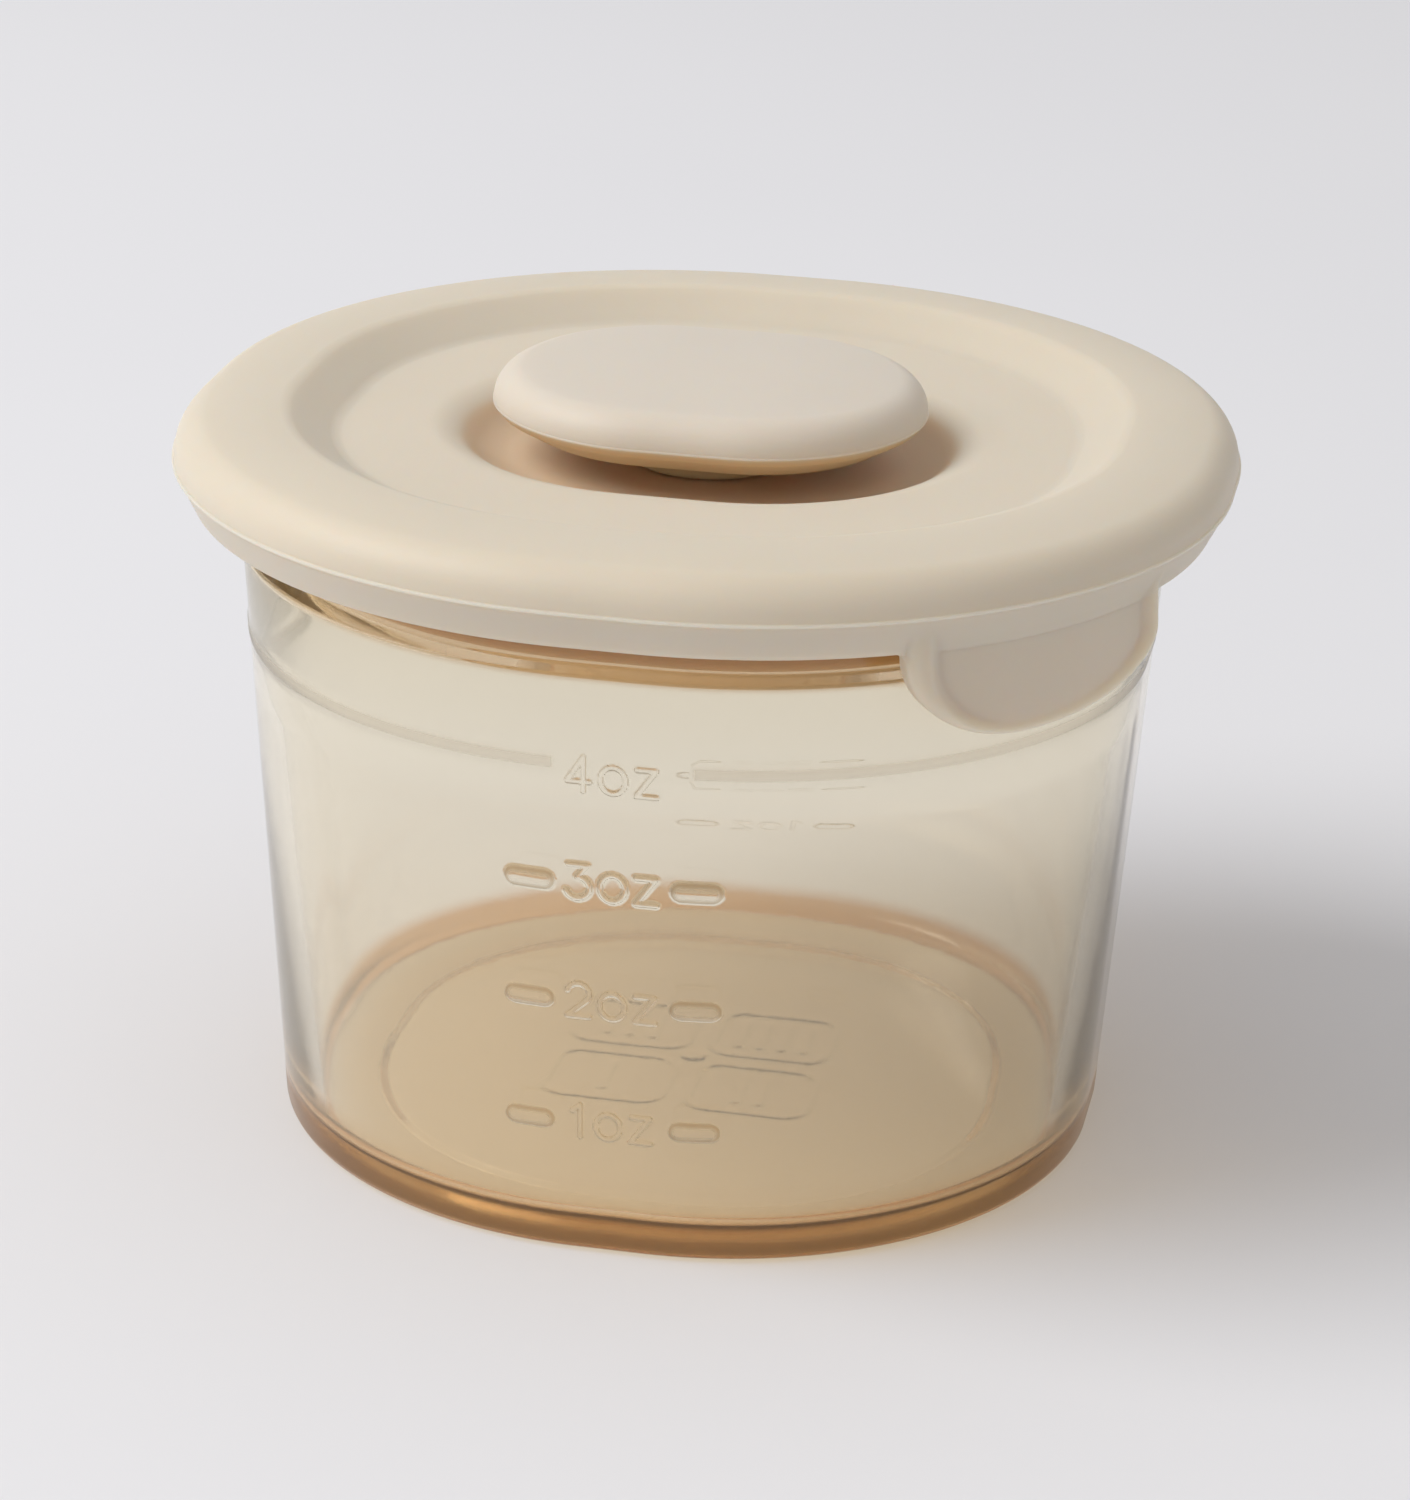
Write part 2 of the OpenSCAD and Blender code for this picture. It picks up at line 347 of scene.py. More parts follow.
def weld():
    """Merges vertices that meet and removes what has no length left."""
    bpy.ops.mesh.select_mode(type="VERT")
    bpy.ops.mesh.select_all(action="SELECT")
    bpy.ops.mesh.remove_doubles(threshold=WELD)
    bpy.ops.mesh.dissolve_degenerate(threshold=WELD)


def fill_rims(height):
    """Closes the flat ring between two open rims at one height."""
    pick_open_rims(height)
    bpy.ops.mesh.fill(use_beauty=True)


def face_outward():
    """Turns all faces of the closed piece outwards."""
    bpy.ops.mesh.select_all(action="SELECT")
    bpy.ops.mesh.normals_make_consistent(inside=False)


def choose(*pieces):
    """Leaves edit mode and selects these pieces alone, with the first of them active."""
    if bpy.context.object and bpy.context.object.mode == "EDIT":
        bpy.ops.object.mode_set(mode="OBJECT")
    bpy.ops.object.select_all(action="DESELECT")
    for piece in pieces:
        piece.select_set(True)
    bpy.context.view_layer.objects.active = pieces[0]


def join(*pieces):
    """Makes several pieces one mesh, under the first one's name."""
    choose(*pieces)
    bpy.ops.object.join()
    return bpy.context.object


def sweep_quarter(name, section, runs, rows=None, flat_steps=1):
    """A quarter of the soft square: a section carried round the +X -Y corner and the side after it."""
    quarter = open_piece(name, on_side(*section[0][:2]))
    draw_section(section, on_side)
    if rows:
        rows()
    bpy.ops.mesh.select_all(action="SELECT")
    sweep([((HALF, -HALF), runs, (-SIDE, 0))], flat_steps)
    choose(quarter)
    return quarter


def close_square(first, plain):
    """Joins a first quarter and three turned copies of a plain one, left in edit mode."""
    copies = []
    for quarter in (1, 2, 3):
        choose(plain)
        bpy.ops.object.duplicate()
        copy = bpy.context.object
        copy.rotation_euler.z = -quarter * math.pi / 2
        bpy.ops.object.transform_apply(location=False, rotation=True, scale=False)
        copies.append(copy)
    ring = join(first, *copies)
    bpy.ops.object.mode_set(mode="EDIT")
    weld()
    return ring


def sweep_oval():
    """Carries the selected section clockwise round the oval, from its +Y side."""
    run = [(180, OVAL_STEPS)]
    sweep([((OVAL / 2, 0), run, (-OVAL, 0)), ((-OVAL / 2, 0), run, (OVAL, 0))])


def on_side(out, up):
    """Stands a section in the plane of the +X side, where the first corner begins."""
    return (out, -HALF, up)


def on_oval(out, up):
    """Stands a section in the plane of the oval's +X end, on its +Y side."""
    return (OVAL / 2, out, up)


def close_piece(piece, smooth_degrees):
    """Leaves edit mode, brings the piece to metres and shades it."""
    choose(piece)
    piece.scale = (MM, MM, MM)
    bpy.ops.object.transform_apply(location=False, rotation=False, scale=True)
    bpy.ops.object.shade_smooth_by_angle(angle=math.radians(smooth_degrees))


def cut_out(piece, tool):
    """Cuts a tool out of a piece and removes the tool."""
    choose(piece)
    step = piece.modifiers.new("cut", "BOOLEAN")
    step.operation = "DIFFERENCE"
    step.solver = "EXACT"
    step.object = tool
    bpy.ops.object.modifier_apply(modifier=step.name)
    bpy.data.objects.remove(tool)


# Cup

def cup_half(height):
    """The outer wall's distance from the axis at a height."""
    return BASE_HALF + (SHOULDER_HALF - BASE_HALF) * height / SHOULDER_Z


def wall_place(across, height, lift, back):
    """A point on the outer wall of the scale's side, or of the opposite side turned half round."""
    radius = cup_half(height) - HALF
    beyond = math.copysign(max(abs(across) - HALF, 0), across)
    reach = math.sqrt(radius * radius - beyond * beyond)
    outward = Vector((beyond / radius, -reach / radius, 0))
    place = Vector((across, -HALF - reach, height)) + outward * lift
    return Vector((-place.x, -place.y, place.z)) if back else place


def on_wall(place):
    """How far across its own side a place lies, as it is read from outside, and the turn there."""
    across = -place.x if place.y > 0 else place.x
    return across, math.atan2(across, abs(place.y))


def row_levels(height):
    """Heights of the edges round the wall at a line of the scale; the top line shares the ring's edges."""
    step = ROW_HALF / ROW_STEPS
    middle = height
    if height > RING_LOW - PILL_TALL:
        step = (RING_HIGH - RING_LOW) / 2
        middle = RING_LOW
    return [middle + step * number for number in range(-ROW_STEPS, ROW_STEPS + 1)]


def in_gap(turn):
    """Whether a turn lies where the fill ring is open."""
    return RING_GAP[0] < turn < RING_GAP[1]


def make_cup():
    """The clear cup: foot, wall, shoulder, neck, throat and floor in one section, with its raised marks."""
    section = [
        (UNDER_RIM, FOOT_RECESS, 0),
        (FOOT_INNER - FOOT_RECESS, FOOT_RECESS, EDGE),
        (FOOT_INNER, 0, EDGE),
        (BASE_HALF, 0, FOOT_ROUND),
        (cup_half(FOOT_BAND), FOOT_BAND, 0),
        (cup_half(FOOT_BAND + EDGE), FOOT_BAND + EDGE, 0),
    ]
    for _, height in ROWS:
        section += [(cup_half(level), level, 0) for level in row_levels(height)]
    section += [
        (SHOULDER_HALF, SHOULDER_Z, EDGE),
        (NECK_HALF, SHOULDER_Z, EDGE),
        (NECK_HALF, NECK_TOP, NECK_ROUND),
        (NECK_INNER, NECK_TOP, NECK_ROUND),
        (NECK_INNER, THROAT_TOP, THROAT_ROUND),
        (cup_half(THROAT_LOW) - CUP_WALL, THROAT_LOW, THROAT_ROUND),
        (cup_half(FLOOR_TOP) - CUP_WALL, FLOOR_TOP, FLOOR_ROUND),
        (FLOOR_RIM, FLOOR_TOP, 0),
    ]
    quarter = sweep_quarter("cup_shell", section, [(90, CORNER_STEPS)], flat_steps=FLAT_STEPS)
    cup = close_square(quarter, quarter)
    choose(cup)
    cup = join(cup, make_floor_marks())
    bpy.ops.object.mode_set(mode="EDIT")
    for height in (FOOT_RECESS, FLOOR_TOP):
        fill_rims(height)
    face_outward()
    raise_ring()
    raise_scale()
    close_piece(cup, CUP_SMOOTH)
    return cup


def plan_reach(place):
    """Distance from the axis to the side of the soft square that goes through a place."""
    return HALF + math.hypot(max(abs(place.x) - HALF, 0), max(abs(place.y) - HALF, 0))


def faces_out(middle, normal):
    """Whether a face looks away from the axis."""
    return normal.dot(Vector((middle.x, middle.y, 0))) > 0


def raise_ring():
    """Raises the fill ring softly from the wall, marks its face as frosted and darkened with painted shade,
    and the foot as frosted.
    """

    def on_ring(middle, normal):
        _, turn = on_wall(middle)
        return RING_LOW < middle.z < RING_HIGH and faces_out(middle, normal) and not in_gap(turn)

    pick_faces(on_ring)
    bpy.ops.mesh.inset(thickness=RING_EDGE, depth=RING_LIFT)
    edit = edit_mesh()
    frost_and_shade = edit.verts.layers.float.new("frost_and_shade")
    for vertex in edit.verts:
        if vertex.select:
            vertex[frost_and_shade] = RING_FROST_AND_SHADE
        elif vertex.co.z < WELD:
            vertex[frost_and_shade] = FOOT_FROST
        elif vertex.co.z < FOOT_BAND + WELD and plan_reach(vertex.co) > BASE_HALF - CUP_WALL / 2:
            vertex[frost_and_shade] = BAND_FROST
    bmesh.update_edit_mesh(bpy.context.object.data)


def raise_scale():
    """Divides the wall finely at each line of the scale and raises its figures and bars on both sides."""
    bands = [(row_levels(height), figure, height) for figure, height in ROWS]

    def in_patch(across, turn, height):
        for levels, _, _ in bands:
            if levels[0] < height < levels[-1]:
                return in_gap(turn) if levels[-1] > RING_HIGH else abs(across) < ROW_REACH
        return False

    def on_patch(middle, normal):
        return faces_out(middle, normal) and in_patch(*on_wall(middle), middle.z)

    pick_faces(on_patch)
    bpy.ops.mesh.subdivide(number_cuts=ROW_CUTS)
    edit = edit_mesh()
    frost_and_shade = edit.verts.layers.float["frost_and_shade"]
    for levels, figure, height in bands:
        found = []
        places = []
        for vertex in edit.verts:
            if not levels[0] - WELD < vertex.co.z < levels[-1] + WELD:
                continue
            across, _ = on_wall(vertex.co)
            if abs(across) > ROW_REACH:
                continue
            back = vertex.co.y > 0
            if (wall_place(across, vertex.co.z, 0, back) - vertex.co).length < RING_LIFT / 4:
                found.append((vertex, back))
                places.append((across, vertex.co.z))
        lifts, flanks = row_lift(figure, height, np.array(places))
        for (vertex, back), (across, level), lift, flank in zip(found, places, lifts, flanks):
            vertex.co = wall_place(across, level, float(lift), back)
            # The flanks are frosted and darkened with painted shade
            vertex[frost_and_shade] = float(flank)
    bmesh.update_edit_mesh(bpy.context.object.data)


def arc(middle, radii, first, last, steps):
    """Points along an arc of a stroke, from one angle to another, in degrees."""
    points = []
    for step in range(steps + 1):
        turn = math.radians(first + (last - first) * step / steps)
        points.append((middle[0] + radii[0] * math.cos(turn), middle[1] + radii[1] * math.sin(turn)))
    return points


def stroke_paths():
    """The width and middle line of each figure and letter of the scale, from its lower left corner."""
    tall = DIGIT_TALL - STROKE
    low = LETTER_TALL - STROKE
    wide = DIGIT_WIDE
    bowl = tall * 0.32
    return {
        "1": (1.1, [(0.1, tall * 0.8), (0.7, tall), (0.7, 0)]),
        "2": (wide, arc((wide / 2, tall - wide / 2), (wide / 2, wide / 2), 165, -40, 14)
              + [(0, 0), (wide, 0)]),
        "3": (wide, [(0.1, tall), (wide - 0.15, tall), (wide * 0.45, tall * 0.63)]
              + arc((wide * 0.47, bowl), (wide * 0.53, bowl), 72, -160, 16)),
        "4": (wide, [(wide * 0.72, 0), (wide * 0.72, tall), (0, tall * 0.28), (wide, tall * 0.28)]),
        "o": (1.84, arc((0.92, low / 2), (0.92, low / 2), 90, 450, 32)),
        "z": (1.5, [(0.05, low), (1.45, low), (0, 0), (1.5, 0)]),
    }


def distance_from(line, places):
    """Distance of each place from a line of points."""
    nearest = np.full(len(places), np.inf)
    for start, end in zip(np.array(line[:-1]), np.array(line[1:])):
        way = end - start
        share = np.clip((places - start) @ way / (way @ way), 0, 1)
        nearest = np.minimum(nearest, np.linalg.norm(places - start - share[:, None] * way, axis=1))
    return nearest


def soft_line(line, places, width, soft):
    """A flat-topped bead with soft flanks along a line, from nothing to one."""
    share = np.clip((width / 2 + soft / 2 - distance_from(line, places)) / soft, 0, 1)
    return share * share * (3 - 2 * share)


def lens(distances, radius):
    """A round-topped swelling of one at its middle, down to nothing at its radius."""
    return np.sqrt(np.clip(1 - (distances / radius) ** 2, 0, 1))


def row_lift(figure, height, places):
    """How far each place of the wall stands out for one line of the scale, with a mask of the flanks, which
    are frosted and darkened with painted shade.
    """
    paths = stroke_paths()
    word = [str(figure), "o", "z"]
    width = sum(paths[mark][0] + STROKE for mark in word) + TEXT_GAP * (len(word) - 1)
    across = TEXT_MIDDLE - width / 2 + STROKE / 2
    base = height - DIGIT_TALL / 2 + STROKE / 2 + TEXT_RAISE
    text = np.zeros(len(places))
    for mark in word:
        wide, line = paths[mark]
        shifted = [(across + x, base + y) for x, y in line]
        text = np.maximum(text, soft_line(shifted, places, STROKE, TEXT_SOFT))
        across += wide + STROKE + TEXT_GAP
    bars = np.zeros(len(places))
    if height < RING_LOW - PILL_TALL:
        reach = (PILL_LONG - PILL_TALL) / 2
        for middle in (PILL_LEFT, PILL_RIGHT):
            line = [(middle - reach, height), (middle + reach, height)]
            bars = np.maximum(bars, lens(distance_from(line, places), PILL_TALL / 2))
    flanks = 4 * text * (1 - text) + 4 * bars * (1 - bars)
    return TEXT_LIFT * text + PILL_LIFT * bars, flanks


def make_floor_marks():
    """A finely divided plate under the floor, with four plain square marks and the moulding's gate."""
    bpy.ops.object.select_all(action="DESELECT")
    bpy.ops.mesh.primitive_grid_add(x_subdivisions=round(PLATE_LONG / PLATE_STEP),
                                    y_subdivisions=round(PLATE_WIDE / PLATE_STEP), size=1)
    plate = bpy.context.object
    plate.scale = (PLATE_LONG, PLATE_WIDE, 1)
    bpy.ops.object.transform_apply(location=False, rotation=False, scale=True)
    bpy.ops.object.mode_set(mode="EDIT")
    edit = edit_mesh()
    places = np.array([vertex.co.xy for vertex in edit.verts])
    lift = np.zeros(len(places))
    for number in range(4):
        for line in square_mark(number):
            lift = np.maximum(lift, MARK_LIFT * soft_line(line, places, MARK_LINE, MARK_LINE))
    lift += GATE_LIFT * lens(np.linalg.norm(places, axis=1), GATE)
    for vertex, drop in zip(edit.verts, lift):
        vertex.co.z = FOOT_RECESS - float(drop)
    bmesh.update_edit_mesh(plate.data)
    choose(plate)
    return plate


def square_mark(number):
    """The lines of one square mark: its rounded outline and one more bar in it than in the mark before."""
    x = (MARK_LONG + MARK_SPACE) / 2 * (1 if number % 2 else -1)
    y = (MARK_WIDE + MARK_SPACE) / 2 * (-1 if number < 2 else 1)
    long = MARK_LONG / 2 - MARK_ROUND
    wide = MARK_WIDE / 2 - MARK_ROUND
    radii = (MARK_ROUND, MARK_ROUND)
    outline = []
    for quarter, (right, up) in enumerate(((1, 1), (-1, 1), (-1, -1), (1, -1))):
        outline += arc((x + right * long, y + up * wide), radii, 90 * quarter, 90 * quarter + 90, 6)
    lines = [outline + outline[:1]]
    for bar in range(number + 1):
        place = x + (bar - number / 2) * MARK_ROUND
        lines.append([(place, y - wide), (place, y + wide)])
    return lines


# Lid

def make_lid():
    """The soft lid: lip, groove, skirt, rim, slope and panel in one section, with tab and recess."""
    section = [
        (LIP_INNER - FLAT_MARGIN, PANEL_UNDER, 0),
        (LIP_INNER, PANEL_UNDER, EDGE),
        (LIP_INNER, LIP_Z, LIP_ROUND),
        (LIP_OUTER, LIP_Z, LIP_ROUND),
        (LIP_OUTER, GROOVE_Z, EDGE / 2),
        (SKIRT_INNER, GROOVE_Z, EDGE / 2),
        (SKIRT_INNER, SKIRT_Z, EDGE),
        (TAB_RADIUS + HALF, SKIRT_Z, 0),
        (SKIRT_OUTER, SKIRT_Z, EDGE * 2),
        (RIM_HALF - RIDGE_FOOT, PARTING_Z - RIDGE_FLANK, 0),
        (RIM_HALF + RIDGE_OUT, PARTING_Z, 0),
        (RIM_HALF + RIDGE_OUT, PARTING_Z + RIDGE_TALL, 0),
        (RIM_HALF, PARTING_Z + RIDGE_TALL + RIDGE_FLANK, 0),
        (RIM_HALF - RIM_LEAN, CREST_Z - RIM_DROP, RIM_ROUND),
        (CREST_OUTER, CREST_Z, CREST_ROUND),
        (CREST_INNER, CREST_Z, SLOPE_ROUND),
        (PANEL_HALF, PANEL_Z, SLOPE_ROUND),
        (PANEL_HALF - FLAT_MARGIN, PANEL_Z, 0),
    ]

    def on_skirt(place):
        return place.x > SKIRT_OUTER and SKIRT_Z + EDGE / 2 < place.z < PARTING_Z - WELD

    def skirt_rows():
        pick_points(on_skirt)
        bpy.ops.mesh.subdivide(number_cuts=SKIRT_ROWS)

    reach = math.degrees(tab_turn(TAB_REACH))
    before = 90 - TAB_ANGLE - reach
    after = TAB_ANGLE - reach
    corner_runs = [
        (before, round(CORNER_STEPS * before / 90)),
        (2 * reach, TAB_COLUMNS),
        (after, round(CORNER_STEPS * after / 90)),
    ]
    tab_quarter = sweep_quarter("lid_shell", section, corner_runs, skirt_rows)
    bpy.ops.object.mode_set(mode="EDIT")
    pull_out_tab()
    choose(tab_quarter)
    plain = sweep_quarter("lid_quarter", section, [(90, CORNER_STEPS)], skirt_rows)
    lid = close_square(tab_quarter, plain)
    bpy.data.objects.remove(plain)
    choose(lid)
    lid = join(lid, *make_recess())
    bpy.ops.object.mode_set(mode="EDIT")
    weld()
    for height in (PANEL_Z, RECESS_Z, RECESS_UNDER, PANEL_UNDER):
        fill_rims(height)
    face_outward()
    close_piece(lid, SOFT_SMOOTH)
    return lid


def tab_turn(across):
    """The angle round the corner's axis at which a flat distance across the tab lies."""
    return math.asin(across / TAB_RADIUS)


def tab_border():
    """The tab's lower outline, from one end of the strip that it is pulled from to the other, as points."""
    points = []
    sides = (
        (TAB_LEFT, TAB_CURVE_LEFT, (90, 0), (180, 270)),
        (TAB_RIGHT, TAB_CURVE_RIGHT, (90, 180), (0, -90)),
    )
    for side, tall, flare, curve in sides:
        height = TAB_BOTTOM + tall
        end = math.copysign(TAB_REACH, side)
        half = arc((end, height), (abs(end - side), SKIRT_Z - height), *flare, TAB_FLARE_STEPS)
        half += arc((TAB_LOWEST, height), (abs(side - TAB_LOWEST), tall), *curve, TAB_CURVE_STEPS)
        points += half if side < 0 else half[::-1]
    return [Vector(point) for point in points]


def along(points, share):
    """The place at a share of the length of a line of points."""
    lengths = [(b - a).length for a, b in zip(points, points[1:])]
    rest = share * sum(lengths)
    for length, a, b in zip(lengths, points, points[1:]):
        if rest <= length:
            return a.lerp(b, rest / length if length else 0)
        rest -= length
    return points[-1]


def tab_inset(across, height, left=0, right=0, low=0):
    """About how far a place lies inside the tab's outline drawn in by margins; below nothing outside it."""
    wide, curve = TAB_RIGHT - TAB_LOWEST - right, TAB_CURVE_RIGHT
    if across < TAB_LOWEST:
        wide, curve = TAB_LOWEST - TAB_LEFT - left, TAB_CURVE_LEFT
    sideways = abs(across - TAB_LOWEST)
    tall = curve - low
    below = TAB_BOTTOM + curve - height
    if below <= 0:
        return wide - sideways
    share = math.hypot(sideways / wide, below / tall)
    slope = math.hypot(sideways / wide ** 2, below / tall ** 2)
    return (1 - share) * share / slope


def soft_step(value):
    """A smooth rise from nothing to one."""
    value = min(max(value, 0), 1)
    return value * value * (3 - 2 * value)


def edge_drop(inset, radius):
    """How far a rounded edge falls back, at a distance inside it."""
    if inset <= 0:
        return radius - TAB_FALL * inset
    if inset >= radius:
        return 0
    return radius - math.sqrt(radius * radius - (radius - inset) ** 2)


def tab_front(across, height):
    """Distance of the tab's face from the corner's axis, with its rounded border and thumb dish."""
    inset = tab_inset(across, height)
    face = TAB_FACE + TAB_FLARE * (TAB_TOP - height) / (TAB_TOP - TAB_BOTTOM)
    dish = DISH_DEPTH * soft_step(tab_inset(across, height, DISH_LEFT, DISH_RIGHT, DISH_LOW) / DISH_SOFT)
    return face - edge_drop(inset, TAB_EDGE) - dish


def soft_max(one, other, blend):
    """The larger of two values, rounded over where they are close."""
    near = max(blend - abs(one - other), 0) / blend
    return max(one, other) + near * near * blend / 4


def pull_out_tab():
    """Extrudes a strip of the skirt's lower face and shapes it into the tab, with the skirt above it."""
    axis = Vector((HALF, -HALF, 0))
    middle = math.radians(TAB_ANGLE - 90)
    reach = tab_turn(TAB_REACH)
    front_from = TAB_FACE - TAB_THICK * 3 / 4

    def around(place):
        out = place - axis
        return math.hypot(out.x, out.y), math.atan2(out.y, out.x) - middle

    def on_strip(place, normal):
        distance, turn = around(place)
        low = abs(place.z - SKIRT_Z) < WELD
        return low and abs(turn) < reach and distance > TAB_RADIUS + WELD

    pick_faces(on_strip)
    for _ in range(TAB_ROWS):
        bpy.ops.mesh.extrude_region_move(TRANSFORM_OT_translate={"value": (0, 0, -TAB_DRAW)})
    border = tab_border()
    edit = edit_mesh()
    for vertex in edit.verts:
        distance, turn = around(vertex.co)
        if abs(turn) > reach + TURN_SLACK or vertex.co.x < HALF or vertex.co.y > -HALF:
            continue
        height = vertex.co.z
        across = TAB_RADIUS * math.sin(turn)
        drawn_out = height < SKIRT_Z - WELD and distance > TAB_RADIUS - WELD
        if drawn_out:
            depth = (SKIRT_Z - height) / (TAB_ROWS * TAB_DRAW)
            share = 1 - (1 - depth) ** 2
            end = along(border, (turn + reach) / (2 * reach))
            place = Vector((across, SKIRT_Z)).lerp(end, share)
            across, height = place
        if distance > front_from and height < PARTING_Z - RIDGE_CLEAR:
            distance = soft_max(distance, tab_front(across, height), TAB_BLEND)
        elif drawn_out:
            rounding = edge_drop(max(tab_inset(across, height), 0), TAB_BACK_EDGE)
            distance += rounding * soft_step((SKIRT_Z - height) / EDGE)
            distance += TAB_FLARE * (SKIRT_Z - height) / (TAB_TOP - TAB_BOTTOM)
        if drawn_out or distance > front_from:
            turned = middle + tab_turn(across)
            vertex.co = axis + Vector((distance * math.cos(turned), distance * math.sin(turned), height))
    bmesh.update_edit_mesh(bpy.context.object.data)
    weld()


def make_recess():
    """The oval recess, its boss underneath and the bore of the vent, to join to the lid."""
    recess = [
        (RECESS_HALF + 2 * FLAT_MARGIN, PANEL_Z, 0),
        (RECESS_HALF, PANEL_Z, RECESS_ROUND),
        (RECESS_HALF - RECESS_SLOPE, RECESS_Z, RECESS_ROUND),
        (PEDESTAL + 2 * FLAT_MARGIN, RECESS_Z, 0),
    ]
    boss = [
        (PEDESTAL + 2 * FLAT_MARGIN, RECESS_UNDER, 0),
        (BOSS_HALF - BOSS_SLOPE, RECESS_UNDER, BOSS_ROUND),
        (BOSS_HALF, PANEL_UNDER, BOSS_ROUND),
        (BOSS_HALF + BOSS_MARGIN, PANEL_UNDER, 0),
    ]
    made = []
    for name, section in (("recess", recess), ("boss", boss)):
        made.append(open_piece(name, on_oval(*section[0][:2])))
        draw_section(section, on_oval)
        bpy.ops.mesh.select_all(action="SELECT")
        sweep_oval()
        choose(made[-1])
    bpy.ops.mesh.primitive_circle_add(vertices=OVAL_STEPS, radius=BORE)
    bore = bpy.context.object
    bpy.ops.object.mode_set(mode="EDIT")
    bpy.ops.transform.translate(value=(0, 0, RECESS_Z))
    bpy.ops.mesh.extrude_region_move(TRANSFORM_OT_translate={"value": (0, 0, RECESS_UNDER - RECESS_Z)})
    choose(bore)
    return made + [bore]


# Vent plug

def make_plug():
    """The vent plug: an oval knob on a round flange and stem, with a split bulb to hold it in the lid."""
    crown_z = KNOB_TOP - CROWN
    edge_y = KNOB_HALF - KNOB_ROUND
    edge_z = crown_z + math.sqrt((CROWN - KNOB_ROUND) ** 2 - edge_y ** 2)
    lean = math.degrees(math.atan2(edge_z - crown_z, edge_y))
    line_low, line_middle, line_high = (edge_z - drop for drop in KNOB_LINE_DROPS)
    section = [
        (PEDESTAL + 2 * FLAT_MARGIN, KNOB_Z, 0),
        (KNOB_HALF - UNDERCUT, KNOB_Z, KNOB_UNDER_ROUND),
        (KNOB_HALF - UNDERCUT_BAND, UNDERCUT_Z, UNDERCUT_ROUND),
        (KNOB_HALF - KNOB_LINE_FOOT, line_low, 0),
        (KNOB_HALF + KNOB_LINE_OUT, line_middle, 0),
        (KNOB_HALF + KNOB_LINE_OUT, line_high, 0),
        (KNOB_HALF, edge_z, 0),
    ]
    plug = open_piece("vent_knob", on_oval(*section[0][:2]))
    draw_section(section, on_oval)
    widest = Vector(on_oval(KNOB_HALF, edge_z))
    pick_points(lambda place: (place - widest).length < WELD)
    draw_arc(on_oval(edge_y, edge_z), -lean, KNOB_STEPS, (1, 0, 0))
    draw_arc(on_oval(0, crown_z), lean - 90, CROWN_STEPS, (1, 0, 0))
    bpy.ops.mesh.select_all(action="SELECT")
    sweep_oval()
    weld()
    stem = [
        (PEDESTAL, KNOB_Z, 0),
        (PEDESTAL, FLANGE_TOP, EDGE),
        (FLANGE, FLANGE_TOP, EDGE),
        (FLANGE, FLANGE_Z, EDGE),
        (STEM, FLANGE_Z, EDGE / 2),
        (STEM, BULB_TOP, EDGE),
        (BULB, BULB_TOP, EDGE),
        (BULB, BULB_TOP - BULB_BAND, EDGE),
        (BULB / 2, BULB_BOTTOM, BULB_ROUND),
        (0, BULB_BOTTOM, 0),
    ]

    def on_stem(place):
        return abs(place.y) < WELD and place.z < KNOB_Z + WELD and -WELD < place.x < BULB + WELD

    add_point((stem[0][0], 0, stem[0][1]))
    draw_section(stem, lambda out, up: (out, 0, up))
    pick_points(on_stem)
    bpy.ops.mesh.spin(steps=OVAL_STEPS, angle=math.radians(360), center=(0, 0, 0), axis=(0, 0, 1))
    weld()
    fill_rims(KNOB_Z)
    face_outward()
    choose(plug)
    bpy.ops.mesh.primitive_cube_add(size=1, location=(0, 0, SLOT_TOP - SLOT_TALL / 2))
    slot = bpy.context.object
    slot.scale = (4 * BULB, SLOT, SLOT_TALL)
    bpy.ops.object.transform_apply(location=True, rotation=False, scale=True)
    cut_out(plug, slot)
    close_piece(plug, SOFT_SMOOTH)
    return plug


# Finishes

# Clear amber: tints of its faces, with painted shade on the neck under the lid, at the foot and on the
# marks, tint of its depth, and polish
WALL_TINT = (0.988, 0.97, 0.915)
FLOOR_TINT = (0.965, 0.89, 0.77)
# Deeper amber of the thick foot, with painted shade where it rests on the table
FOOT_AMBER_AND_SHADE = (0.66, 0.31, 0.1)
# Painted shade on the neck, where the lid's skirt shades it
NECK_PAINTED_SHADE = (0.7, 0.47, 0.27)
# Painted shade on the flanks of the figures and bars and on the fill ring
MARK_PAINTED_SHADE = (0.58, 0.47, 0.34)
VEIL_TINT = (0.935, 0.895, 0.83)
DEPTH_TINT = (0.93, 0.76, 0.3)
DEPTH_DENSITY = 42
POLISH_ROUGH = (0.02, 0.06)
FROST_ROUGH = 0.42

# Where the deeper amber tints and the painted shade at the foot and the neck begin and are full, in metres
# over the table or from the axis
FOOT_FADE = (0.0046, 0.0028)
OUTER_FADE = (0.0309, 0.0318)
NECK_SHADE_FADE = (0.0462, 0.0471)

# Soft cream: light and dark tone of its grain, and a painted shade tone in the recess round the vent and
# under the knob
LID_TONES_AND_SHADE = ((0.695, 0.627, 0.517), (0.667, 0.598, 0.487), (0.72, 0.57, 0.4))
PLUG_TONES_AND_SHADE = ((0.69, 0.63, 0.55), (0.665, 0.602, 0.52), (0.65, 0.48, 0.29))

# Where the painted shade lies: below a height and within a distance of the axis, in metres
# Painted shade in the vent's recess
LID_PAINTED_SHADE = ((PANEL_Z - 0.4) * MM, (RECESS_HALF + 3.0) * MM)
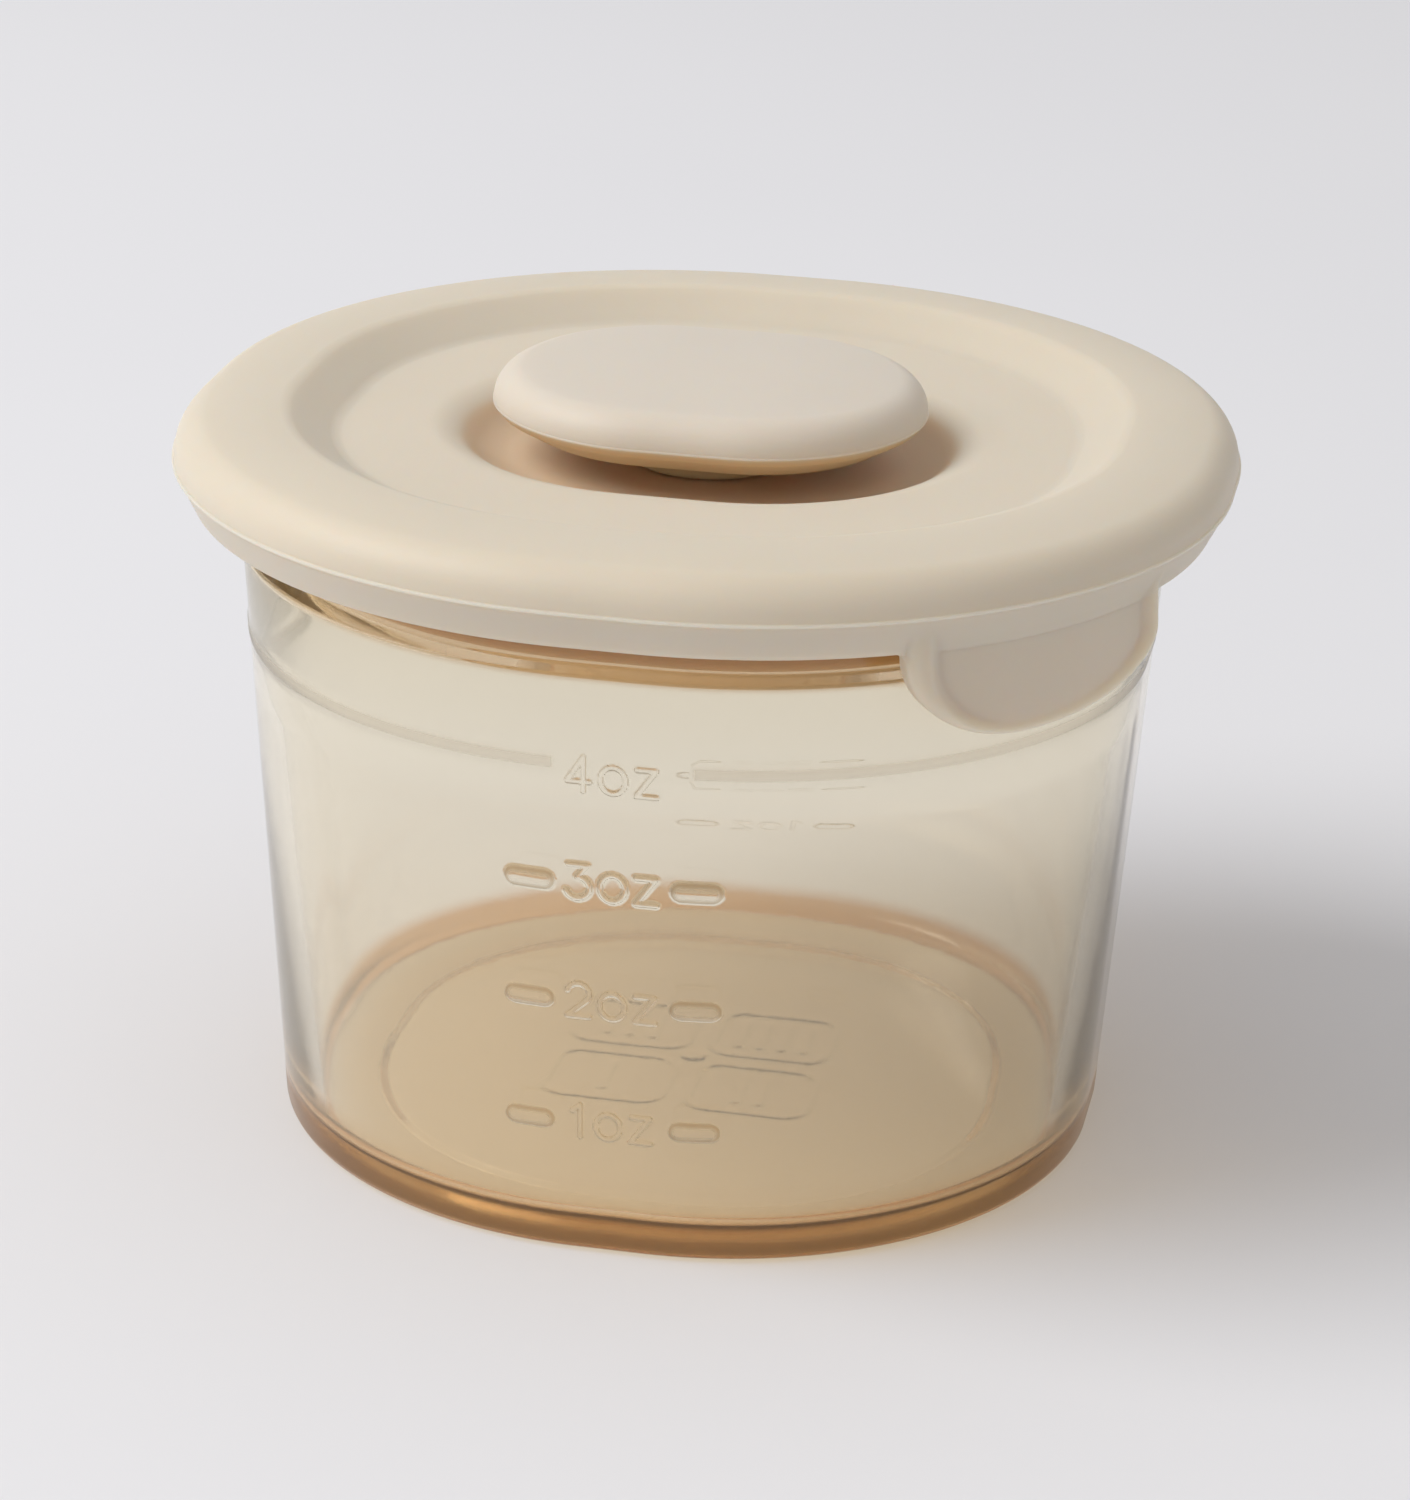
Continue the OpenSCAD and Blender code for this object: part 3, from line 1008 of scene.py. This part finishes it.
# Painted shade under the knob's edge, on its lower flank, flange and stem
PLUG_PAINTED_SHADE = ((UNDERCUT_Z + 0.9) * MM, (KNOB_HALF + 4.0) * MM)
SHADE_SOFT_UP = 0.0008
SHADE_SOFT_OUT = 0.001

# Pale table: dark and light tone of its grain
TABLE_TONES = ((0.79, 0.795, 0.835), (0.82, 0.825, 0.86))


def new_material(name):
    """A material with its nodes and links."""
    material = bpy.data.materials.new(name)
    material.use_nodes = True
    return material, material.node_tree.nodes, material.node_tree.links


def grain_group():
    """Fine moulded grain: a height for bump and a mask for slow changes of tone."""
    group = bpy.data.node_groups.new("moulded grain", "ShaderNodeTree")
    face = group.interface
    face.new_socket("Fine", in_out="INPUT", socket_type="NodeSocketFloat").default_value = 4000
    face.new_socket("Broad", in_out="INPUT", socket_type="NodeSocketFloat").default_value = 60
    face.new_socket("Height", in_out="OUTPUT", socket_type="NodeSocketFloat")
    face.new_socket("Tone", in_out="OUTPUT", socket_type="NodeSocketFloat")
    nodes, links = group.nodes, group.links
    start = nodes.new("NodeGroupInput")
    end = nodes.new("NodeGroupOutput")
    place = nodes.new("ShaderNodeTexCoord")
    fine = nodes.new("ShaderNodeTexNoise")
    fine.inputs["Detail"].default_value = 3
    broad = nodes.new("ShaderNodeTexNoise")
    broad.inputs["Detail"].default_value = 2
    for noise, size in ((fine, "Fine"), (broad, "Broad")):
        links.new(place.outputs["Object"], noise.inputs["Vector"])
        links.new(start.outputs[size], noise.inputs["Scale"])
    links.new(fine.outputs["Fac"], end.inputs["Height"])
    links.new(broad.outputs["Fac"], end.inputs["Tone"])
    return group


def place_parts(nodes, links):
    """Height over the table and distance from the axis, of a piece at rest."""
    place = nodes.new("ShaderNodeTexCoord")
    parts = nodes.new("ShaderNodeSeparateXYZ")
    links.new(place.outputs["Object"], parts.inputs["Vector"])
    flat = nodes.new("ShaderNodeVectorMath")
    flat.operation = "MULTIPLY"
    flat.inputs[1].default_value = (1, 1, 0)
    links.new(place.outputs["Object"], flat.inputs[0])
    radius = nodes.new("ShaderNodeVectorMath")
    radius.operation = "LENGTH"
    links.new(flat.outputs["Vector"], radius.inputs[0])
    return parts.outputs["Z"], radius.outputs["Value"]


def fade(nodes, links, value, start, end):
    """A mask that rises softly from nothing at one value to one at another."""
    step = nodes.new("ShaderNodeMapRange")
    step.interpolation_type = "SMOOTHSTEP"
    step.inputs["From Min"].default_value = start
    step.inputs["From Max"].default_value = end
    links.new(value, step.inputs["Value"])
    return step.outputs["Result"]


def both(nodes, links, one, other):
    """The overlap of two masks."""
    times = nodes.new("ShaderNodeMath")
    times.operation = "MULTIPLY"
    links.new(one, times.inputs[0])
    links.new(other, times.inputs[1])
    return times.outputs["Value"]


def tinted(nodes, links, colour, deeper, mask):
    """A colour that turns to a deeper one where a mask is one."""
    tint = nodes.new("ShaderNodeMix")
    tint.data_type = "RGBA"
    tint.inputs["B"].default_value = (*deeper, 1)
    links.new(mask, tint.inputs["Factor"])
    links.new(colour, tint.inputs["A"])
    return tint.outputs["Result"]


def soft_cream(name, group, tones_and_shade, shade_place):
    """Matt silicone that lets a little light in under its surface, with painted shade in the vent's recess
    or under the knob.
    """
    light, dark, painted_shade = tones_and_shade
    shade_top, shade_reach = shade_place
    material, nodes, links = new_material(name)
    shader = nodes["Principled BSDF"]
    shader.inputs["Roughness"].default_value = 0.5
    shader.inputs["Subsurface Weight"].default_value = 1.0
    shader.inputs["Subsurface Radius"].default_value = (1.0, 0.76, 0.55)
    shader.inputs["Subsurface Scale"].default_value = 0.0025
    shader.inputs["Specular IOR Level"].default_value = 0.4
    grain = nodes.new("ShaderNodeGroup")
    grain.node_tree = group
    tone = nodes.new("ShaderNodeMix")
    tone.data_type = "RGBA"
    tone.inputs["A"].default_value = (*dark, 1)
    tone.inputs["B"].default_value = (*light, 1)
    links.new(grain.outputs["Tone"], tone.inputs["Factor"])
    height, radius = place_parts(nodes, links)
    # Painted shade below a height and near the axis
    low = fade(nodes, links, height, shade_top, shade_top - SHADE_SOFT_UP)
    inner = fade(nodes, links, radius, shade_reach + SHADE_SOFT_OUT, shade_reach)
    colour = tinted(nodes, links, tone.outputs["Result"], painted_shade, both(nodes, links, low, inner))
    links.new(colour, shader.inputs["Base Color"])
    bump = nodes.new("ShaderNodeBump")
    bump.inputs["Strength"].default_value = 0.08
    bump.inputs["Distance"].default_value = 0.0001
    links.new(grain.outputs["Height"], bump.inputs["Height"])
    links.new(bump.outputs["Normal"], shader.inputs["Normal"])
    return material


def clear_amber(group):
    """Clear plastic with an amber tint that deepens where light runs a long way through it, and painted
    shade on its neck, foot and marks.
    """
    material, nodes, links = new_material("clear_amber")
    shader = nodes["Principled BSDF"]
    shader.inputs["Transmission Weight"].default_value = 0.94
    shader.inputs["IOR"].default_value = 1.5
    # The frost share roughens the faces and darkens the marks and the ring with painted shade
    frost_and_shade = nodes.new("ShaderNodeAttribute")
    frost_and_shade.attribute_name = "frost_and_shade"
    links.new(amber_tint(nodes, links, frost_and_shade.outputs["Fac"]), shader.inputs["Base Color"])
    grain = nodes.new("ShaderNodeGroup")
    grain.node_tree = group
    grain.inputs["Fine"].default_value = 900
    polish = nodes.new("ShaderNodeMapRange")
    polish.inputs["To Min"].default_value, polish.inputs["To Max"].default_value = POLISH_ROUGH
    links.new(grain.outputs["Tone"], polish.inputs["Value"])
    rough = nodes.new("ShaderNodeMath")
    rough.operation = "MULTIPLY_ADD"
    rough.inputs[1].default_value = FROST_ROUGH
    links.new(frost_and_shade.outputs["Fac"], rough.inputs[0])
    links.new(polish.outputs["Result"], rough.inputs[2])
    links.new(rough.outputs["Value"], shader.inputs["Roughness"])
    bump = nodes.new("ShaderNodeBump")
    bump.inputs["Strength"].default_value = 0.02
    bump.inputs["Distance"].default_value = 0.0001
    links.new(grain.outputs["Height"], bump.inputs["Height"])
    links.new(bump.outputs["Normal"], shader.inputs["Normal"])
    path = nodes.new("ShaderNodeLightPath")
    veil = nodes.new("ShaderNodeBsdfTransparent")
    veil.inputs["Color"].default_value = (*VEIL_TINT, 1)
    mix = nodes.new("ShaderNodeMixShader")
    end = nodes["Material Output"]
    unseen = nodes.new("ShaderNodeMath")
    unseen.operation = "MAXIMUM"
    links.new(path.outputs["Is Shadow Ray"], unseen.inputs[0])
    links.new(path.outputs["Is Diffuse Ray"], unseen.inputs[1])
    links.new(unseen.outputs["Value"], mix.inputs["Fac"])
    links.new(shader.outputs["BSDF"], mix.inputs[1])
    links.new(veil.outputs["BSDF"], mix.inputs[2])
    links.new(mix.outputs["Shader"], end.inputs["Surface"])
    tint = nodes.new("ShaderNodeVolumeAbsorption")
    tint.inputs["Color"].default_value = (*DEPTH_TINT, 1)
    tint.inputs["Density"].default_value = DEPTH_DENSITY
    links.new(tint.outputs["Volume"], end.inputs["Volume"])
    return material


def amber_tint(nodes, links, frost_and_shade):
    """The plastic's colour: pale in the wall and deeper in the floor, with painted shade on the marks and
    the ring, deeper amber and painted contact shade at the foot, and painted shade on the neck under the
    lid.
    """
    height, radius = place_parts(nodes, links)
    low = fade(nodes, links, height, *FOOT_FADE)
    outer = fade(nodes, links, radius, *OUTER_FADE)
    neck = fade(nodes, links, height, *NECK_SHADE_FADE)
    # The frost share squared darkens the marks' flanks and the ring with painted shade
    wall = nodes.new("ShaderNodeMix")
    wall.data_type = "RGBA"
    wall.inputs["A"].default_value = (*WALL_TINT, 1)
    wall.inputs["B"].default_value = (*MARK_PAINTED_SHADE, 1)
    links.new(both(nodes, links, frost_and_shade, frost_and_shade), wall.inputs["Factor"])
    colour = wall.outputs["Result"]
    # Deeper amber of the thick foot, with painted shade where it rests on the table
    foot = both(nodes, links, low, outer)
    # The neck's tone is painted shade under the lid's skirt
    for deeper, mask in ((FLOOR_TINT, low), (FOOT_AMBER_AND_SHADE, foot), (NECK_PAINTED_SHADE, neck)):
        colour = tinted(nodes, links, colour, deeper, mask)
    return colour


def pale_table(group):
    """A pale, matt, slightly cool table top."""
    material, nodes, links = new_material("pale_table")
    shader = nodes["Principled BSDF"]
    shader.inputs["Roughness"].default_value = 0.7
    shader.inputs["Specular IOR Level"].default_value = 0.2
    grain = nodes.new("ShaderNodeGroup")
    grain.node_tree = group
    grain.inputs["Broad"].default_value = 8
    tone = nodes.new("ShaderNodeMix")
    tone.data_type = "RGBA"
    for side, colour in zip("AB", TABLE_TONES):
        tone.inputs[side].default_value = (*colour, 1)
    links.new(grain.outputs["Tone"], tone.inputs["Factor"])
    links.new(tone.outputs["Result"], shader.inputs["Base Color"])
    return material


def finish_piece(piece, material, node, body):
    """Gives a piece its material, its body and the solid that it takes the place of."""
    piece.data.materials.append(material)
    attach(piece, body)
    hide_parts(node)


# Table, light and camera

VIEW_TURN = math.radians(11)
VIEW_DOWN = math.radians(21.33)
VIEW_ROLL = math.radians(1.52)
VIEW_ASIDE = math.radians(-0.045)
VIEW_OUT = 0.34418
VIEW_UP = 0.1627
VIEW_LENS = 112.93
TABLE_GAP = 0.00005
TABLE_SIZE = 6

# One large soft lamp, as the camera sees its place, and a room that is brighter overhead
LAMP_PLACE = (-0.967, -0.206, 1.06)
LAMP_AIM = (0, 0, 0.03)
LAMP_SIZE = 0.94
LAMP_POWER = 13.6
LAMP_COLOUR = (1, 0.995, 0.985)
ROOM_COLOUR = (1, 0.98, 0.96)
ROOM_LIGHT = (0.43, 0.63)


def from_view(right, away, up):
    """A place given as right, away and up from the part's axis as the camera sees it."""
    return Matrix.Rotation(VIEW_TURN, 3, "Z") @ Vector((right, away, up))


def make_table(material):
    """The plain surface that the cup stands on."""
    bpy.ops.object.select_all(action="DESELECT")
    bpy.ops.mesh.primitive_plane_add(size=TABLE_SIZE, location=(0, 0, -TABLE_GAP))
    table = bpy.context.object
    table.name = "table"
    table.data.materials.append(material)


def add_lamp():
    """A round soft lamp, at the left and high, aimed at the cup."""
    place = from_view(*LAMP_PLACE)
    bpy.ops.object.light_add(type="AREA", location=place)
    lamp = bpy.context.object
    lamp.name = "window"
    lamp.rotation_euler = (place - Vector(LAMP_AIM)).to_track_quat("Z", "Y").to_euler()
    lamp.data.shape = "DISK"
    lamp.data.size = LAMP_SIZE
    lamp.data.energy = LAMP_POWER
    lamp.data.color = LAMP_COLOUR


def light_room():
    """Even light from all round that grows from the horizon to overhead."""
    world = bpy.data.worlds.new("room")
    world.use_nodes = True
    nodes, links = world.node_tree.nodes, world.node_tree.links
    sky = nodes["Background"]
    sky.inputs["Color"].default_value = (*ROOM_COLOUR, 1)
    place = nodes.new("ShaderNodeTexCoord")
    parts = nodes.new("ShaderNodeSeparateXYZ")
    links.new(place.outputs["Generated"], parts.inputs["Vector"])
    height = nodes.new("ShaderNodeMapRange")
    height.inputs["To Min"].default_value, height.inputs["To Max"].default_value = ROOM_LIGHT
    links.new(parts.outputs["Z"], height.inputs["Value"])
    links.new(height.outputs["Result"], sky.inputs["Strength"])
    bpy.context.scene.world = world


def place_camera():
    """The camera of the photo: in front, a little to one side, looking down."""
    bpy.ops.object.camera_add(location=from_view(0, -VIEW_OUT, VIEW_UP))
    camera = bpy.context.object
    facing = Euler((math.pi / 2 - VIEW_DOWN, 0, VIEW_TURN + VIEW_ASIDE)).to_matrix()
    camera.rotation_euler = (facing @ Matrix.Rotation(VIEW_ROLL, 3, "Z")).to_euler()
    camera.data.lens = VIEW_LENS
    camera.data.clip_start = 0.01
    bpy.context.scene.camera = camera


cup = make_cup()
lid = make_lid()
plug = make_plug()
grain = grain_group()
cream = soft_cream("soft_cream", grain, LID_TONES_AND_SHADE, LID_PAINTED_SHADE)
cream_plug = soft_cream("soft_cream_plug", grain, PLUG_TONES_AND_SHADE, PLUG_PAINTED_SHADE)
finish_piece(cup, clear_amber(grain), "cup", "cup")
finish_piece(lid, cream, "lid", "lid")
finish_piece(plug, cream_plug, "vent_plug", "vent_plug")
make_table(pale_table(grain))
add_lamp()
light_room()
place_camera()
bpy.context.scene.view_settings.view_transform = "Standard"
